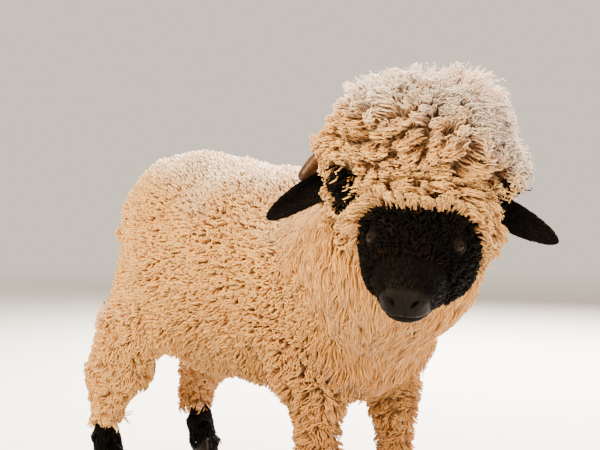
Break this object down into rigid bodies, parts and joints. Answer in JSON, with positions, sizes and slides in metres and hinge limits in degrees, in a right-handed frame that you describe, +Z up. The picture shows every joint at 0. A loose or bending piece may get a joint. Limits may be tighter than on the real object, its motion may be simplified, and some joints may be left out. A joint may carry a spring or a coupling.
{
  "type": "valais blacknose sheep",
  "caption": "Standing young woolly sheep with a shaggy topknot, black face turned to its right, black drooping ears, short horns and cloven feet.",
  "frame": {"origin": "on the floor, at the middle of the whole animal's bounding box seen from above", "axes": "-Y the way the body faces, +X to the animal's left, +Z up"},
  "size_m": [0.4836, 1.114, 0.7545],
  "materials": {
    "wool": "cream curly fleece",
    "black_hair": "short black hair",
    "horn": "dull brown horn",
    "claw": "dark worn horn",
    "eye": "wet dark amber"
  },
  "bodies": {
    "root": {"torso": "wool", "neck": "wool", "head": "wool", "tail": "wool", "shoulder_right": "wool", "thigh_right": "wool", "shoulder_left": "wool", "thigh_left": "wool", "leg_front_right": "wool", "leg_front_left": "wool", "leg_hind_right": "wool", "leg_hind_left": "wool", "face": "black_hair", "ear_right": "black_hair", "eye_right": "eye", "horn_right": "horn", "ear_left": "black_hair", "eye_left": "eye", "horn_left": "horn", "foot_front_right": "black_hair", "claw_front_right_outer": "claw", "claw_front_right_inner": "claw", "foot_front_left": "black_hair", "claw_front_left_outer": "claw", "claw_front_left_inner": "claw", "foot_hind_right": "black_hair", "claw_hind_right_outer": "claw", "claw_hind_right_inner": "claw", "foot_hind_left": "black_hair", "claw_hind_left_outer": "claw", "claw_hind_left_inner": "claw"}
  },
  "joints": []
}
